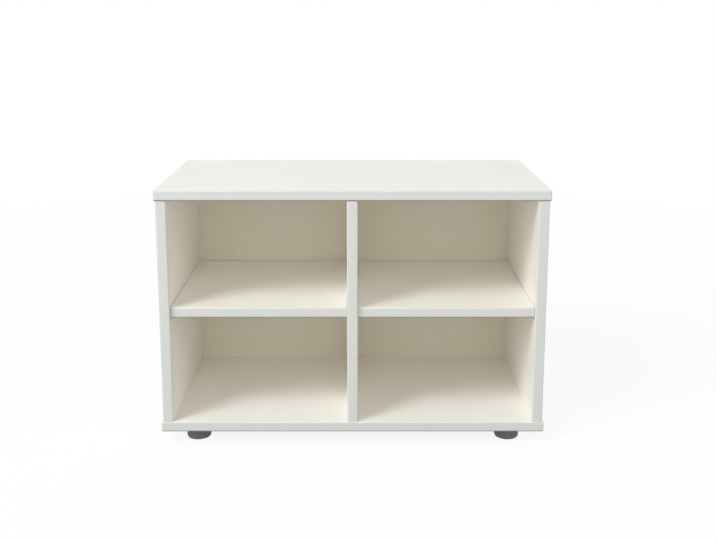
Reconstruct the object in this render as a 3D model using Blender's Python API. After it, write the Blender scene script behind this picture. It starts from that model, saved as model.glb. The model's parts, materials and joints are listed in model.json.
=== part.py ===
# Low open shelving unit with four compartments. Boards with glued edge bands are joined by
# dowels, a thin back sits in grooves, two loose shelves lie on pins, and four levelling feet
# screw into the floor panel. The front faces -Y and the unit stands on z = 0.

import math

import bmesh
import bpy
from mathutils import Matrix, Vector

# Overall sizes in metres.
WIDTH = 0.800
DEPTH = 0.400
OPENING_HEIGHT = 0.224
FOOT_HEIGHT = 0.028

# Boards, and the bands glued on their edges.
BOARD = 0.022
BAND = 0.003
ARRIS_RADIUS = 0.0025
ARRIS_STEPS = 4
END_OVERHANG = 0.0035
SEAT_GAP = 0.0003

# Back panel, and the groove that holds it on four sides.
BACK_THICKNESS = 0.003
BACK_REVEAL = 0.009
GROOVE_DEPTH = 0.008
GROOVE_PLAY = 0.0005

# Loose shelves.
SHELF_SETBACK = 0.008
SHELF_END_GAP = 0.001
SHELF_BACK_GAP = 0.002

# Beech dowels between the uprights and the top and bottom panels.
DOWEL_RADIUS = 0.004
DOWEL_LENGTH = 0.030
DOWEL_IN_FACE = 0.011
DOWEL_CHAMFER = 0.0008
DOWEL_EDGE_MARGIN = 0.050
DOWEL_HOLE_PLAY = 0.0005
DOWEL_SEGMENTS = 12

# Shelf pins: a shank in the upright, a collar against it, and a head with a flat on top.
PIN_SHANK_RADIUS = 0.0025
PIN_SHANK_LENGTH = 0.0085
PIN_HOLE_PLAY = 0.0008
PIN_COLLAR_RADIUS = 0.005
PIN_COLLAR = 0.0012
PIN_HEAD_RADIUS = 0.004
PIN_HEAD_LENGTH = 0.0095
PIN_FLAT_HEIGHT = 0.0027
PIN_CHAMFER = 0.0005
PIN_EDGE_MARGIN = 0.055
PIN_SEGMENTS = 12

# Levelling feet: where they stand, measured to their axes.
FOOT_INSET_X = 0.071
FOOT_INSET_Y = 0.048

# Press-in threaded sleeve in the floor panel.
SLEEVE_RADIUS = 0.0065
SLEEVE_DEPTH = 0.0125
SLEEVE_BARB = 0.0005
SLEEVE_BARBS = 3
SLEEVE_FLANGE_RADIUS = 0.009
SLEEVE_FLANGE = 0.001
SLEEVE_HOLE_DEPTH = 0.0170
THREAD_CLEARANCE = 0.0003
STEEL_SEGMENTS = 16

# Steel stem: a threaded shank, a hexagon to turn it by, a neck and a ball.
STEM_RADIUS = 0.0047
STEM_ENGAGEMENT = 0.0165
STEM_CHAMFER = 0.001
HEXAGON_FLATS = 0.017
HEXAGON_HEIGHT = 0.0055
NECK_RADIUS = 0.0028
BALL_RADIUS = 0.0045
BALL_CENTRE = 0.0095
BALL_STEPS = 5

# Moulded glide: a cup with a rim, a hub that the ball snaps into, and radial ribs.
GLIDE_RADIUS = 0.02575
GLIDE_HEIGHT = 0.0190
GLIDE_WALL = 0.0022
GLIDE_BASE = 0.0030
GLIDE_CHAMFER_IN = 0.0012
GLIDE_CHAMFER_UP = 0.0034
GLIDE_EDGE_RADIUS = 0.0008
HUB_RADIUS = 0.0085
HUB_ABOVE_BALL = 0.0028
SOCKET_CLEARANCE = 0.0003
SOCKET_LEAD_IN = 0.0006
RIBS = 6
RIB_THICKNESS = 0.0016
RIB_BELOW_HUB = 0.0010
SLOTS = 3
SLOT_WIDTH = 0.0012
SLOT_DEPTH = 0.0060
GLIDE_SEGMENTS = 32
EDGE_STEPS = 3

# How far a cutter runs past the face that it enters.
CUTTER_RUN = 0.002
# How far two shapes are let into each other where they are joined into one solid.
JOIN_OVERLAP = 0.0008

# Places worked out from the sizes above.
HALF_WIDTH = WIDTH / 2
FRONT = -DEPTH / 2
REAR = DEPTH / 2
UNDERSIDE = FOOT_HEIGHT
FLOOR_TOP = UNDERSIDE + BOARD
SHELF_UNDER = FLOOR_TOP + OPENING_HEIGHT
SHELF_TOP = SHELF_UNDER + BOARD
CEILING = SHELF_TOP + OPENING_HEIGHT
TOP = CEILING + BOARD
SIDE_OUTER = HALF_WIDTH - END_OVERHANG
SIDE_INNER = SIDE_OUTER - BOARD
BACK_REAR = REAR - BACK_REVEAL
BACK_FRONT = BACK_REAR - BACK_THICKNESS
SHELF_FRONT = FRONT + SHELF_SETBACK
SHELF_REAR = BACK_FRONT - SHELF_BACK_GAP
PIN_AXIS_HEIGHT = SHELF_UNDER - SEAT_GAP - PIN_FLAT_HEIGHT
FOOT_X = HALF_WIDTH - FOOT_INSET_X
FOOT_Y = REAR - FOOT_INSET_Y
UPRIGHT_CENTRES = {
    "left": (BOARD / 2) - SIDE_OUTER,
    "divider": 0.0,
    "right": SIDE_OUTER - BOARD / 2,
}
OUTWARD = {
    "left": Vector((-1.0, 0.0, 0.0)),
    "right": Vector((1.0, 0.0, 0.0)),
    "front": Vector((0.0, -1.0, 0.0)),
    "bottom": Vector((0.0, 0.0, -1.0)),
    "top": Vector((0.0, 0.0, 1.0)),
}


def clear_scene():
    for old in list(bpy.data.objects):
        bpy.data.objects.remove(old, do_unlink=True)


def make_material(name, colour, roughness, metallic=0.0):
    material = bpy.data.materials.new(name)
    material.use_nodes = True
    shader = material.node_tree.nodes["Principled BSDF"]
    shader.inputs["Base Color"].default_value = (*colour, 1.0)
    shader.inputs["Roughness"].default_value = roughness
    shader.inputs["Metallic"].default_value = metallic
    return material


def make_object(name, bm, material, place=(0.0, 0.0, 0.0), smooth_angle=None):
    """Turns a bmesh into a named object with its normals out and its finish on."""
    bmesh.ops.recalc_face_normals(bm, faces=bm.faces)
    mesh = bpy.data.meshes.new(name)
    bm.to_mesh(mesh)
    bm.free()
    if smooth_angle:
        mesh.shade_smooth()
        mesh.set_sharp_from_angle(angle=smooth_angle)
    mesh.materials.append(material)
    made = bpy.data.objects.new(name, mesh)
    made.location = place
    bpy.context.collection.objects.link(made)
    return made


def make_helper(name, bm):
    """A shape that only cuts or joins: it is drawn as wire and left out of renders."""
    bmesh.ops.recalc_face_normals(bm, faces=bm.faces)
    mesh = bpy.data.meshes.new(name)
    bm.to_mesh(mesh)
    bm.free()
    helper = bpy.data.objects.new(name, mesh)
    helper.hide_render = True
    helper.display_type = "WIRE"
    bpy.context.collection.objects.link(helper)
    return helper


def combine(target, helper, operation):
    boolean = target.modifiers.new(helper.name, "BOOLEAN")
    boolean.operation = operation
    boolean.solver = "EXACT"
    boolean.object = helper


def add_box(bm, low, high):
    """Adds a box between two corners to a bmesh and gives its vertices."""
    low = Vector(low)
    high = Vector(high)
    middle = Matrix.Translation((low + high) / 2)
    size = Matrix.Diagonal((*(high - low), 1.0))
    return bmesh.ops.create_cube(bm, size=1.0, matrix=middle @ size)["verts"]


def add_rod(bm, start, end, radius, segments):
    """Adds a closed round bar between two points to a bmesh."""
    start = Vector(start)
    end = Vector(end)
    turn = (end - start).to_track_quat("Z", "Y").to_matrix().to_4x4()
    bmesh.ops.create_cone(
        bm,
        cap_ends=True,
        segments=segments,
        radius1=radius,
        radius2=radius,
        depth=(end - start).length,
        matrix=Matrix.Translation((start + end) / 2) @ turn,
    )


def make_board(name, low, high, material):
    """A square-edged board with its origin at its centre."""
    low = Vector(low)
    high = Vector(high)
    half = (high - low) / 2
    bm = bmesh.new()
    add_box(bm, -half, half)
    return make_object(name, bm, material, (low + high) / 2)


def lies_on(point, half, face):
    """Whether a point of a box with these half sizes is on the named face."""
    way = OUTWARD[face]
    return point.dot(way) > abs(half.dot(way)) * 0.99


def make_band(name, low, high, rounded, material):
    """An edge band whose named box edges carry the rounded arris."""
    low = Vector(low)
    high = Vector(high)
    half = (high - low) / 2
    bm = bmesh.new()
    add_box(bm, -half, half)
    chosen = []
    for first, second in rounded:
        for edge in bm.edges:
            middle = (edge.verts[0].co + edge.verts[1].co) / 2
            if lies_on(middle, half, first) and lies_on(middle, half, second):
                chosen.append(edge)
    bmesh.ops.bevel(
        bm,
        geom=chosen,
        offset=ARRIS_RADIUS,
        offset_type="OFFSET",
        affect="EDGES",
        segments=ARRIS_STEPS,
        profile=0.5,
        clamp_overlap=True,
        material=-1,
    )
    return make_object(name, bm, material, (low + high) / 2, math.radians(40))


def turned(outline, segments, closed_ring):
    """Spins an outline of (radius, height) points about Z into a closed solid."""
    bm = bmesh.new()
    points = [bm.verts.new((radius, 0.0, height)) for radius, height in outline]
    edges = [bm.edges.new(pair) for pair in zip(points, points[1:])]
    if closed_ring:
        edges.append(bm.edges.new((points[-1], points[0])))
    bmesh.ops.spin(
        bm,
        geom=points + edges,
        cent=(0.0, 0.0, 0.0),
        axis=(0.0, 0.0, 1.0),
        angle=math.tau,
        steps=segments,
        use_merge=True,
    )
    bmesh.ops.remove_doubles(bm, verts=bm.verts, dist=1e-6)
    return bm


def arc(radius, centre, start_deg, end_deg, steps):
    """Points of (radius, height) along an arc, in the plane that gets spun."""
    turns = [start_deg + (end_deg - start_deg) * i / steps for i in range(steps + 1)]
    return [
        (
            centre[0] + radius * math.cos(math.radians(turn)),
            centre[1] + radius * math.sin(math.radians(turn)),
        )
        for turn in turns
    ]


def dowel_places():
    """The depth positions of the dowels in each joint, by name."""
    first = FRONT + DOWEL_EDGE_MARGIN
    last = BACK_FRONT - DOWEL_EDGE_MARGIN
    return {"front": first, "middle": (first + last) / 2, "rear": last}


def pin_places():
    """The depth positions of the shelf pins, by name."""
    return {
        "front": SHELF_FRONT + PIN_EDGE_MARGIN,
        "rear": SHELF_REAR - PIN_EDGE_MARGIN,
    }


def foot_places():
    """The axes of the four feet, by name."""
    return {
        "front_left": (-FOOT_X, -FOOT_Y),
        "front_right": (FOOT_X, -FOOT_Y),
        "rear_left": (-FOOT_X, FOOT_Y),
        "rear_right": (FOOT_X, FOOT_Y),
    }


def add_dowel_holes(bm, x, joint_height, into, depth):
    """Adds cutters for one row of dowel holes; into is 1 where they enter upwards."""
    radius = DOWEL_RADIUS + SEAT_GAP
    reach = depth + DOWEL_HOLE_PLAY
    for y in dowel_places().values():
        mouth = (x, y, joint_height - into * CUTTER_RUN)
        bottom = (x, y, joint_height + into * reach)
        add_rod(bm, mouth, bottom, radius, DOWEL_SEGMENTS)


def add_pin_holes(bm, face_x, into):
    """Adds cutters for the two pin holes that enter an upright at one of its faces."""
    radius = PIN_SHANK_RADIUS + SEAT_GAP
    reach = PIN_SHANK_LENGTH + PIN_HOLE_PLAY
    for y in pin_places().values():
        mouth = (face_x - into * CUTTER_RUN, y, PIN_AXIS_HEIGHT)
        bottom = (face_x + into * reach, y, PIN_AXIS_HEIGHT)
        add_rod(bm, mouth, bottom, radius, PIN_SEGMENTS)


def add_groove(bm, low, high):
    """Adds a cutter for the back panel's groove, given its x and z extent."""
    add_box(
        bm,
        (low[0], BACK_FRONT - SEAT_GAP, low[1]),
        (high[0], BACK_REAR + SEAT_GAP, high[1]),
    )


def build_cap_panel(name, bottom, top, into, material, band_material):
    """The top or bottom panel, banded on its front and ends; into points into its joint face."""
    core_x = HALF_WIDTH - BAND - SEAT_GAP
    core_front = FRONT + BAND + SEAT_GAP
    panel = make_board(
        f"{name}_panel", (-core_x, core_front, bottom), (core_x, REAR, top), material
    )
    around = [("front", "top"), ("front", "bottom"), ("front", "left"), ("front", "right")]
    ends = [("left", "top"), ("left", "bottom"), ("right", "top"), ("right", "bottom")]
    make_band(
        f"{name}_front_band",
        (-HALF_WIDTH, FRONT, bottom),
        (HALF_WIDTH, FRONT + BAND, top),
        around + ends,
        band_material,
    )
    make_band(
        f"{name}_left_band",
        (-HALF_WIDTH, core_front, bottom),
        (BAND - HALF_WIDTH, REAR, top),
        [("left", "top"), ("left", "bottom")],
        band_material,
    )
    make_band(
        f"{name}_right_band",
        (HALF_WIDTH - BAND, core_front, bottom),
        (HALF_WIDTH, REAR, top),
        [("right", "top"), ("right", "bottom")],
        band_material,
    )
    bm = bmesh.new()
    joint_height = bottom if into > 0 else top
    for x in UPRIGHT_CENTRES.values():
        add_dowel_holes(bm, x, joint_height, into, DOWEL_IN_FACE)
    groove_x = SIDE_INNER + GROOVE_DEPTH
    groove_z = sorted(
        (joint_height - into * CUTTER_RUN, joint_height + into * GROOVE_DEPTH)
    )
    add_groove(bm, (-groove_x, groove_z[0]), (groove_x, groove_z[1]))
    if name == "bottom":
        add_foot_holes(bm)
    combine(panel, make_helper(f"{name}_panel_holes", bm), "DIFFERENCE")
    return panel


def add_foot_holes(bm):
    """Adds cutters for the blind holes that take the threaded sleeves."""
    for x, y in foot_places().values():
        add_rod(
            bm,
            (x, y, UNDERSIDE - CUTTER_RUN),
            (x, y, UNDERSIDE + SLEEVE_HOLE_DEPTH),
            SLEEVE_RADIUS + SEAT_GAP,
            STEEL_SEGMENTS,
        )


def build_upright(name, centre_x, rear, material, band_material):
    """A side panel or the divider: a standing board with a band on its front edge."""
    low_x = centre_x - BOARD / 2
    high_x = centre_x + BOARD / 2
    low_z = FLOOR_TOP + SEAT_GAP
    high_z = CEILING - SEAT_GAP
    panel = make_board(
        f"{name}_panel",
        (low_x, FRONT + BAND + SEAT_GAP, low_z),
        (high_x, rear, high_z),
        material,
    )
    make_band(
        f"{name}_front_band",
        (low_x, FRONT, low_z),
        (high_x, FRONT + BAND, high_z),
        [("front", "left"), ("front", "right")],
        band_material,
    )
    return panel


def cut_upright(panel, centre_x, inner_sides, grooved):
    """Cuts an upright's dowel holes, its pin holes and, in a side panel, the groove."""
    bm = bmesh.new()
    add_dowel_holes(bm, centre_x, CEILING, -1, DOWEL_LENGTH - DOWEL_IN_FACE)
    add_dowel_holes(bm, centre_x, FLOOR_TOP, 1, DOWEL_LENGTH - DOWEL_IN_FACE)
    for side in inner_sides:
        add_pin_holes(bm, centre_x + side * BOARD / 2, -side)
    if grooved:
        side = inner_sides[0]
        face = centre_x + side * BOARD / 2
        groove_x = sorted((face + side * CUTTER_RUN, face - side * GROOVE_DEPTH))
        add_groove(
            bm,
            (groove_x[0], FLOOR_TOP - CUTTER_RUN),
            (groove_x[1], CEILING + CUTTER_RUN),
        )
    combine(panel, make_helper(f"{panel.name}_holes", bm), "DIFFERENCE")


def build_uprights(material, band_material):
    left = UPRIGHT_CENTRES["left"]
    right = UPRIGHT_CENTRES["right"]
    side = build_upright("left_side", left, REAR, material, band_material)
    cut_upright(side, left, [1], grooved=True)
    side = build_upright("right_side", right, REAR, material, band_material)
    cut_upright(side, right, [-1], grooved=True)
    rear = BACK_FRONT - SEAT_GAP
    divider = build_upright("divider", 0.0, rear, material, band_material)
    cut_upright(divider, 0.0, [-1, 1], grooved=False)


def build_back_panel(material):
    into = GROOVE_DEPTH - GROOVE_PLAY
    reach = SIDE_INNER + into
    make_board(
        "back_panel",
        (-reach, BACK_FRONT, FLOOR_TOP - into),
        (reach, BACK_REAR, CEILING + into),
        material,
    )


def build_shelves(material, band_material):
    outer = SIDE_INNER - SHELF_END_GAP
    inner = BOARD / 2 + SHELF_END_GAP
    for name, low_x, high_x in (("left", -outer, -inner), ("right", inner, outer)):
        make_board(
            f"{name}_shelf",
            (low_x, SHELF_FRONT + BAND + SEAT_GAP, SHELF_UNDER),
            (high_x, SHELF_REAR, SHELF_TOP),
            material,
        )
        make_band(
            f"{name}_shelf_front_band",
            (low_x, SHELF_FRONT, SHELF_UNDER),
            (high_x, SHELF_FRONT + BAND, SHELF_TOP),
            [("front", "top"), ("front", "bottom")],
            band_material,
        )


def build_dowels(material):
    """Chamfered dowels: the short end sits in the face of the top or bottom panel."""
    for level, joint_height, side in (("top", CEILING, 1), ("bottom", FLOOR_TOP, -1)):
        low = joint_height - (DOWEL_LENGTH - DOWEL_IN_FACE)
        if side < 0:
            low = joint_height - DOWEL_IN_FACE
        outline = [
            (0.0, DOWEL_LENGTH),
            (DOWEL_RADIUS - DOWEL_CHAMFER, DOWEL_LENGTH),
            (DOWEL_RADIUS, DOWEL_LENGTH - DOWEL_CHAMFER),
            (DOWEL_RADIUS, DOWEL_CHAMFER),
            (DOWEL_RADIUS - DOWEL_CHAMFER, 0.0),
            (0.0, 0.0),
        ]
        for upright, x in UPRIGHT_CENTRES.items():
            for place, y in dowel_places().items():
                bm = turned(outline, DOWEL_SEGMENTS, closed_ring=False)
                name = f"{level}_{upright}_{place}_dowel"
                make_object(name, bm, material, (x, y, low), math.radians(40))


def shelf_pin_mesh():
    """A pin along +X from an upright's face at x = 0, with its flat on top."""
    head_end = SEAT_GAP + PIN_COLLAR + PIN_HEAD_LENGTH
    collar_end = SEAT_GAP + PIN_COLLAR
    outline = [
        (0.0, head_end),
        (PIN_HEAD_RADIUS - PIN_CHAMFER, head_end),
        (PIN_HEAD_RADIUS, head_end - PIN_CHAMFER),
        (PIN_HEAD_RADIUS, collar_end),
        (PIN_COLLAR_RADIUS, collar_end),
        (PIN_COLLAR_RADIUS, SEAT_GAP),
        (PIN_SHANK_RADIUS, SEAT_GAP),
        (PIN_SHANK_RADIUS, PIN_CHAMFER - PIN_SHANK_LENGTH),
        (PIN_SHANK_RADIUS - PIN_CHAMFER, -PIN_SHANK_LENGTH),
        (0.0, -PIN_SHANK_LENGTH),
    ]
    bm = turned(outline, PIN_SEGMENTS, closed_ring=False)
    bmesh.ops.rotate(bm, verts=bm.verts, matrix=Matrix.Rotation(math.radians(90), 3, "Y"))
    sliced = bmesh.ops.bisect_plane(
        bm,
        geom=bm.verts[:] + bm.edges[:] + bm.faces[:],
        dist=1e-7,
        plane_co=(0.0, 0.0, PIN_FLAT_HEIGHT),
        plane_no=(0.0, 0.0, 1.0),
        clear_outer=True,
    )
    rim = [item for item in sliced["geom_cut"] if isinstance(item, bmesh.types.BMEdge)]
    bmesh.ops.holes_fill(bm, edges=rim, sides=0)
    return bm


def build_pins(material):
    """Four pins under each shelf: two in the side panel and two in the divider."""
    seats = {
        ("left", "outer"): (-SIDE_INNER, 0.0),
        ("left", "inner"): (-BOARD / 2, math.pi),
        ("right", "inner"): (BOARD / 2, 0.0),
        ("right", "outer"): (SIDE_INNER, math.pi),
    }
    for (shelf, end), (x, turn) in seats.items():
        for place, y in pin_places().items():
            pin = make_object(
                f"{shelf}_shelf_{end}_{place}_pin",
                shelf_pin_mesh(),
                material,
                (x, y, PIN_AXIS_HEIGHT),
                math.radians(40),
            )
            pin.rotation_euler = (0.0, 0.0, turn)


def sleeve_outline():
    """The threaded sleeve: barbs outside, a plain bore inside, and a flange below."""
    bore = STEM_RADIUS + THREAD_CLEARANCE
    flange_top = -SEAT_GAP
    flange_bottom = flange_top - SLEEVE_FLANGE
    pitch = SLEEVE_DEPTH / SLEEVE_BARBS
    outline = [(bore, SLEEVE_DEPTH)]
    for i in range(SLEEVE_BARBS):
        top = SLEEVE_DEPTH - i * pitch
        outline.append((SLEEVE_RADIUS - SLEEVE_BARB, top))
        outline.append((SLEEVE_RADIUS, top - pitch * 0.75))
    outline += [
        (SLEEVE_RADIUS - SLEEVE_BARB, flange_top),
        (SLEEVE_FLANGE_RADIUS, flange_top),
        (SLEEVE_FLANGE_RADIUS, flange_bottom),
        (bore, flange_bottom),
    ]
    return outline


def stem_outline():
    """The stem from its chamfered top down to its ball, in heights above the glide's base."""
    hexagon_top = UNDERSIDE - SEAT_GAP - SLEEVE_FLANGE - SEAT_GAP
    shank_top = hexagon_top + STEM_ENGAGEMENT
    middle = hexagon_top - HEXAGON_HEIGHT / 2
    ball_joint = math.degrees(math.acos(NECK_RADIUS / BALL_RADIUS))
    outline = [
        (0.0, shank_top),
        (STEM_RADIUS - STEM_CHAMFER, shank_top),
        (STEM_RADIUS, shank_top - STEM_CHAMFER),
        (STEM_RADIUS, middle),
        (NECK_RADIUS, middle),
    ]
    ball = arc(BALL_RADIUS, (0.0, BALL_CENTRE), ball_joint, -90, BALL_STEPS)
    outline += ball[:-1] + [(0.0, BALL_CENTRE - BALL_RADIUS)]
    return outline, hexagon_top


def add_hexagon(bm, top, place):
    """Adds the hexagon that the stem is turned by."""
    bmesh.ops.create_cone(
        bm,
        cap_ends=True,
        segments=6,
        radius1=HEXAGON_FLATS / math.sqrt(3),
        radius2=HEXAGON_FLATS / math.sqrt(3),
        depth=HEXAGON_HEIGHT,
        matrix=Matrix.Translation((*place, top - HEXAGON_HEIGHT / 2)),
    )


def glide_outline():
    """The cup from the centre of its base, round its wall and hub, to the ball socket."""
    base_radius = GLIDE_RADIUS - GLIDE_CHAMFER_IN
    corner = (base_radius - GLIDE_EDGE_RADIUS, GLIDE_EDGE_RADIUS)
    rim_corner = (GLIDE_RADIUS - GLIDE_EDGE_RADIUS, GLIDE_HEIGHT - GLIDE_EDGE_RADIUS)
    inner = GLIDE_RADIUS - GLIDE_WALL
    socket = BALL_RADIUS + SOCKET_CLEARANCE
    hub_top = BALL_CENTRE + HUB_ABOVE_BALL
    mouth_angle = math.degrees(math.asin((HUB_ABOVE_BALL - SOCKET_LEAD_IN) / socket))
    outline = [(0.0, 0.0)]
    outline += arc(GLIDE_EDGE_RADIUS, corner, -90, 0, EDGE_STEPS)
    outline += [(GLIDE_RADIUS, GLIDE_CHAMFER_UP)]
    outline += arc(GLIDE_EDGE_RADIUS, rim_corner, 0, 90, EDGE_STEPS)
    outline += [
        (inner, GLIDE_HEIGHT),
        (inner, GLIDE_BASE),
        (HUB_RADIUS, GLIDE_BASE),
        (HUB_RADIUS, hub_top),
    ]
    mouth = arc(socket, (0.0, BALL_CENTRE), mouth_angle, -90, BALL_STEPS)
    outline += [(mouth[0][0] + SOCKET_LEAD_IN, hub_top)]
    outline += mouth[:-1] + [(0.0, BALL_CENTRE - socket)]
    return outline, hub_top


def add_spoke(bm, inner, outer, thickness, bottom, top, turn, centre):
    """Adds one radial bar about a foot's axis."""
    corners = add_box(bm, (inner, -thickness / 2, bottom), (outer, thickness / 2, top))
    bmesh.ops.rotate(bm, verts=corners, matrix=Matrix.Rotation(turn, 3, "Z"))
    bmesh.ops.translate(bm, verts=corners, vec=(*centre, 0.0))


def build_glide(name, place, material):
    outline, hub_top = glide_outline()
    bm = turned(outline, GLIDE_SEGMENTS, closed_ring=False)
    glide = make_object(f"{name}_glide", bm, material, (*place, 0.0), math.radians(35))
    ribs = bmesh.new()
    slots = bmesh.new()
    rib_outer = GLIDE_RADIUS - GLIDE_WALL + JOIN_OVERLAP
    for i in range(RIBS):
        add_spoke(
            ribs,
            HUB_RADIUS - JOIN_OVERLAP,
            rib_outer,
            RIB_THICKNESS,
            GLIDE_BASE - JOIN_OVERLAP,
            hub_top - RIB_BELOW_HUB,
            math.tau * i / RIBS,
            place,
        )
    for i in range(SLOTS):
        add_spoke(
            slots,
            NECK_RADIUS,
            HUB_RADIUS + JOIN_OVERLAP,
            SLOT_WIDTH,
            hub_top - SLOT_DEPTH,
            hub_top + CUTTER_RUN,
            math.tau * (i / SLOTS + 0.5 / RIBS),
            place,
        )
    combine(glide, make_helper(f"{name}_glide_ribs", ribs), "UNION")
    combine(glide, make_helper(f"{name}_glide_slots", slots), "DIFFERENCE")


def build_stem(name, place, material):
    outline, hexagon_top = stem_outline()
    bm = turned(outline, STEEL_SEGMENTS, closed_ring=False)
    stem = make_object(f"{name}_stem", bm, material, (*place, 0.0), math.radians(40))
    hexagon = bmesh.new()
    add_hexagon(hexagon, hexagon_top, place)
    combine(stem, make_helper(f"{name}_stem_hexagon", hexagon), "UNION")


def build_feet(steel, plated, plastic):
    for name, place in foot_places().items():
        sleeve = turned(sleeve_outline(), STEEL_SEGMENTS, closed_ring=True)
        make_object(
            f"{name}_sleeve", sleeve, plated, (*place, UNDERSIDE), math.radians(40)
        )
        build_stem(name, place, steel)
        build_glide(name, place, plastic)


def main():
    clear_scene()
    white = make_material("white_board", (0.86, 0.86, 0.82), 0.45)
    band = make_material("white_band", (0.80, 0.80, 0.77), 0.40)
    back = make_material("white_back_board", (0.80, 0.78, 0.70), 0.50)
    beech = make_material("beech", (0.62, 0.45, 0.28), 0.70)
    steel = make_material("zinc_steel", (0.60, 0.61, 0.62), 0.32, 1.0)
    plated = make_material("yellow_zinc_steel", (0.64, 0.55, 0.34), 0.38, 1.0)
    plastic = make_material("grey_plastic", (0.085, 0.088, 0.080), 0.45)
    build_cap_panel("top", CEILING, TOP, 1, white, band)
    build_cap_panel("bottom", UNDERSIDE, FLOOR_TOP, -1, white, band)
    build_uprights(white, band)
    build_back_panel(back)
    build_shelves(white, band)
    build_dowels(beech)
    build_pins(steel)
    build_feet(steel, plated, plastic)


main()
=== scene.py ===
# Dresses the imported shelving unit: a low white unit with four open compartments, two loose
# shelves, a grooved back and four levelling feet. Metres, +Z up, and the open front faces -Y.

import json
import math

import bmesh
import bpy
from mathutils import Matrix, Vector

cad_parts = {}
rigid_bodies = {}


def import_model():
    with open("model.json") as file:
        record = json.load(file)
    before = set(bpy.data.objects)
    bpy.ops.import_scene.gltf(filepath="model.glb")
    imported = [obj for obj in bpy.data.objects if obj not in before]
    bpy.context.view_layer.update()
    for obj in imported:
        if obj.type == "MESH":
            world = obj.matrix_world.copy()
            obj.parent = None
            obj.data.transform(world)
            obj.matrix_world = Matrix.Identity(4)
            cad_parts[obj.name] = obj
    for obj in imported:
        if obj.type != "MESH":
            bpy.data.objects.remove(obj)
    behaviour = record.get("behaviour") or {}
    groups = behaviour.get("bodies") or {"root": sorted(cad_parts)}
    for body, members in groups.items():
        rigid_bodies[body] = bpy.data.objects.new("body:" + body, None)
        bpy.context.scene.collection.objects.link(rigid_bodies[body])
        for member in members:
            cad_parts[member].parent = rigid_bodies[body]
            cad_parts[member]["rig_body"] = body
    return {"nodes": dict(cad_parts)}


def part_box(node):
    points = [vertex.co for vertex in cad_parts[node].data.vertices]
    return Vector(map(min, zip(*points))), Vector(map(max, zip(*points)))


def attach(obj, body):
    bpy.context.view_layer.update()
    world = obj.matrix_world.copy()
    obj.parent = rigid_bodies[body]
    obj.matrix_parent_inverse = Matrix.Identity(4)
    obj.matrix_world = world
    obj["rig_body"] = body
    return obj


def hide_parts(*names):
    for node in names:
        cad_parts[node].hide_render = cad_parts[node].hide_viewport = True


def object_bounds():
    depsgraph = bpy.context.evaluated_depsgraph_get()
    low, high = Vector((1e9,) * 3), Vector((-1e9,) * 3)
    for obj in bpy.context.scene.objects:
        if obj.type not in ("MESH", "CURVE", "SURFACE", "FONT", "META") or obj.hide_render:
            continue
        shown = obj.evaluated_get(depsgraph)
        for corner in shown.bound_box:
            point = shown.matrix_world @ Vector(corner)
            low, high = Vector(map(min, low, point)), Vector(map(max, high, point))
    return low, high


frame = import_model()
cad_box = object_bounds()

# Edge bands: the radius of their arrises, and how far they come out over the glue gap.
ARRIS_RADIUS = 0.0029
ARRIS_STEPS = 8
GLUE_GAP_TAKEN = 0.00025

# A point of a box is on a face from this share of the half size outwards.
ON_FACE = 0.99

# The melamine skin on a board's faces, and how far in from its box a face's finish starts.
SKIN = 0.0003
FACE_FINISH = 0.0002

# Shelf pins.
PIN_SHANK = 0.0085
PIN_SHANK_RADIUS = 0.0025
PIN_COLLAR_RADIUS = 0.005
PIN_COLLAR = 0.0012
PIN_HEAD_RADIUS = 0.004
PIN_ROUNDING = 0.0004
PIN_CHAMFER = 0.0006
PIN_TO_FACE = 0.0003

# Dowels.
DOWEL_FLUTES = 22
DOWEL_FLUTE_DEPTH = 0.00025
DOWEL_CHAMFER = 0.0008

# Levelling feet, in heights above the floor.
GLIDE_RADIUS = 0.02575
GLIDE_HEIGHT = 0.0190
GLIDE_WALL = 0.0022
GLIDE_BASE = 0.0030
GLIDE_CHAMFER_IN = 0.0012
GLIDE_CHAMFER_UP = 0.0034
GLIDE_EDGE_RADIUS = 0.0008
GLIDE_INNER_EDGE_RADIUS = 0.0005
BASE_RECESS = 0.0006
BASE_RECESS_RADIUS = 0.0195
HUB_RADIUS = 0.0085
HUB_TOP = 0.0123
HUB_FILLET = 0.0012
HUB_EDGE_RADIUS = 0.0004
SOCKET_RADIUS = 0.0048
SOCKET_LEAD_IN = 0.0006
RIBS = 6
RIB_THICKNESS = 0.0016
RIB_TOP = 0.0113
RIB_DRAFT = 0.3
RIB_ROOT = 0.0008
SLOTS = 3
SLOT_WIDTH = 0.0012
SLOT_FLOOR = 0.0063
SLOT_PAST_HUB = 0.0006
SLOT_PAST_TOP = 0.002
BALL_RADIUS = 0.0045
BALL_CENTRE = 0.0095
NECK_RADIUS = 0.0028
HEXAGON_FLATS = 0.017
HEXAGON_BOTTOM = 0.0209
HEXAGON_TOP = 0.0264
HEXAGON_CROWN = 0.96
HEXAGON_TURNED_DEG = 30
THREAD_CREST = 0.00485
THREAD_ROOT = 0.00405
THREAD_PITCH = 0.0015
THREAD_PROFILE = (
    (THREAD_ROOT, 0.0),
    (THREAD_ROOT, 0.25),
    (THREAD_CREST, 0.5625),
    (THREAD_CREST, 0.6875),
)
SHANK_TOP = 0.0429
SHANK_TIP = 0.0012
SLEEVE_RADIUS = 0.0065
SLEEVE_BORE = 0.0050
SLEEVE_CHAMFER = 0.0005
SLEEVE_LEAD_IN = 0.0006
SLEEVE_BARB = 0.0005
SLEEVE_BARB_UNDERCUT = 0.0003
SLEEVE_BARBS = 3
SLEEVE_FLANGE_RADIUS = 0.009
SLEEVE_FLANGE = 0.001

# A hair's breadth, by which a cutting shape passes what it cuts and round edges stay apart.
HAIR = 0.0001

# Steps round the glides and round what is turned from steel.
ROUND_STEPS = 96
STEEL_STEPS = 64

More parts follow.
